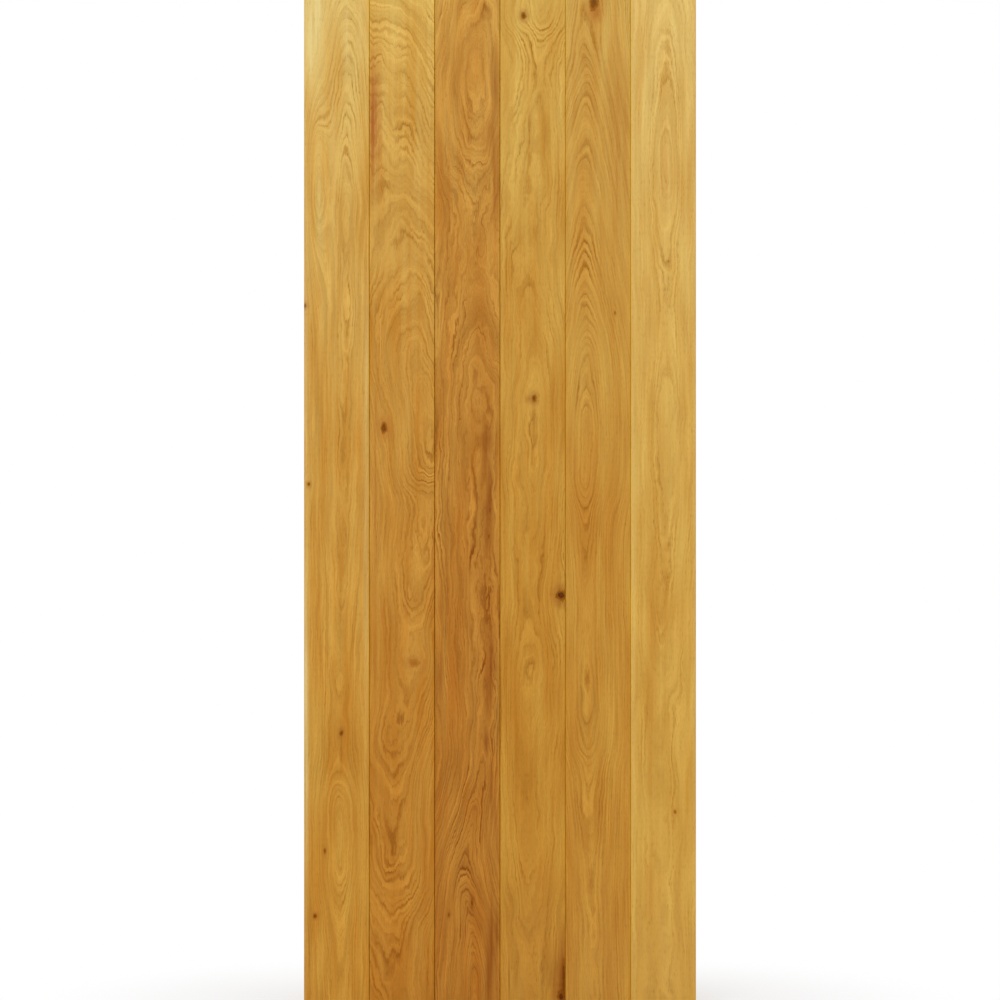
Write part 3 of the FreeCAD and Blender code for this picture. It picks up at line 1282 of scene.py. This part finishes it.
# %% The white world
def seen_directly(bench):
    """1 for rays that look at the ground directly, in a reflection or through glass."""
    path = bench.node("ShaderNodeLightPath")
    rays = [Wire(bench, path.outputs[f"Is {kind} Ray"]) for kind in ("Camera", "Glossy", "Transmission")]
    return bench.math("MAXIMUM", bench.math("MAXIMUM", rays[0], rays[1]), rays[2])


WORLD_LIGHT = 0.7
world = bpy.data.worlds.new("white_studio")
bench = clear_bench(world)
strength = seen_directly(bench) * (1.0 - WORLD_LIGHT) + WORLD_LIGHT
ground = bench.node("ShaderNodeBackground", {"Color": (1, 1, 1, 1), "Strength": strength})
bench.node("ShaderNodeOutputWorld", {"Surface": Wire(bench, ground.outputs[0])})
bpy.context.scene.world = world
print(f"world: light {WORLD_LIGHT}, pure white to the camera")

# %% [markdown]
# The floor
#
# Without a floor the door would float. A floor lit by the lamps alone would turn grey and show its far
# edge, so this one fades to the white of the world away from the door and keeps a soft shadow near it.

# %% A pale floor
FLOOR_HALF = 40.0
FLOOR_FADE = (0.0, 0.6)     # metres from the door over which the floor fades to white
FLOOR_WHITE = 0.35          # share of plain white beside the door
FLOOR_MATT = (0.92, 0.92, 0.92, 1)

floor_mesh = bpy.data.meshes.new("floor")
corners = [(x * FLOOR_HALF, y * FLOOR_HALF) for x, y in ((-1, -1), (1, -1), (1, 1), (-1, 1))]
floor_mesh.from_pydata([(x, y, leaf_low.z) for x, y in corners], [], [(0, 1, 2, 3)])
floor = bpy.data.objects.new("floor", floor_mesh)
bpy.context.scene.collection.objects.link(floor)

paper = bpy.data.materials.new("floor_paper")
bench = clear_bench(paper)
spot = bench.split(Wire(bench, bench.node("ShaderNodeTexCoord").outputs["Object"]))
beside = bench.math("ABSOLUTE", spot[0] - leaf_middle.x) - leaf_width / 2
away_x = bench.math("MAXIMUM", beside, 0.0)
away_y = spot[1] - leaf_middle.y
away = bench.math("SQRT", away_x * away_x + away_y * away_y)
plain = bench.step(away, *FLOOR_FADE) * (1.0 - FLOOR_WHITE) + FLOOR_WHITE
white = bench.node("ShaderNodeEmission", {"Color": (1, 1, 1, 1), "Strength": 1.0})
matt = bench.node("ShaderNodeBsdfDiffuse", {"Color": FLOOR_MATT})
blend = bench.node("ShaderNodeMixShader", {"Fac": plain * seen_directly(bench)})
bench.tree.links.new(matt.outputs[0], blend.inputs[1])
bench.tree.links.new(white.outputs[0], blend.inputs[2])
bench.node("ShaderNodeOutputMaterial", {"Surface": Wire(bench, blend.outputs[0])})
floor_mesh.materials.append(paper)
print(f"floor: {2 * FLOOR_HALF:.0f} m square, plain white from {FLOOR_FADE[1]} m away")

# %% [markdown]
# Two soft lamps
#
# One large soft lamp hangs high in front, which lights the head of the leaf a little more than its
# foot, and a twin behind lights the back. A small lamp would draw a hard shadow in every joint, and a
# large one lets it fade.

# %% Lamps in front and behind
LAMP_AWAY = 4.0
LAMP_HEIGHT = 3.6
LAMP_LEFT = 1.0             # how far the front lamp hangs to the left
LAMP_AIM = 1.0              # height on the leaf that a lamp looks at
LAMP_SIZE = (3.0, 1.6)
LAMP_WATTS = 54


def soft_lamp(name, place):
    """A large rectangular soft lamp that looks at the leaf."""
    lamp_data = bpy.data.lights.new(name, "AREA")
    lamp_data.shape = "RECTANGLE"
    lamp_data.size, lamp_data.size_y = LAMP_SIZE
    lamp_data.energy = LAMP_WATTS
    lamp = bpy.data.objects.new(name, lamp_data)
    lamp.location = place
    target = Vector((leaf_middle.x, 0, LAMP_AIM))
    lamp.rotation_euler = (target - Vector(place)).to_track_quat("-Z", "Y").to_euler()
    bpy.context.scene.collection.objects.link(lamp)


soft_lamp("front_lamp", (leaf_middle.x - LAMP_LEFT, -LAMP_AWAY, LAMP_HEIGHT))
soft_lamp("back_lamp", (leaf_middle.x, LAMP_AWAY, LAMP_HEIGHT))

# %% [markdown]
# The size of the dressed door
#
# The dressed door has to be as large as the packed one: the easing takes nothing off its outline, and
# the pellets stand proud by a hair.
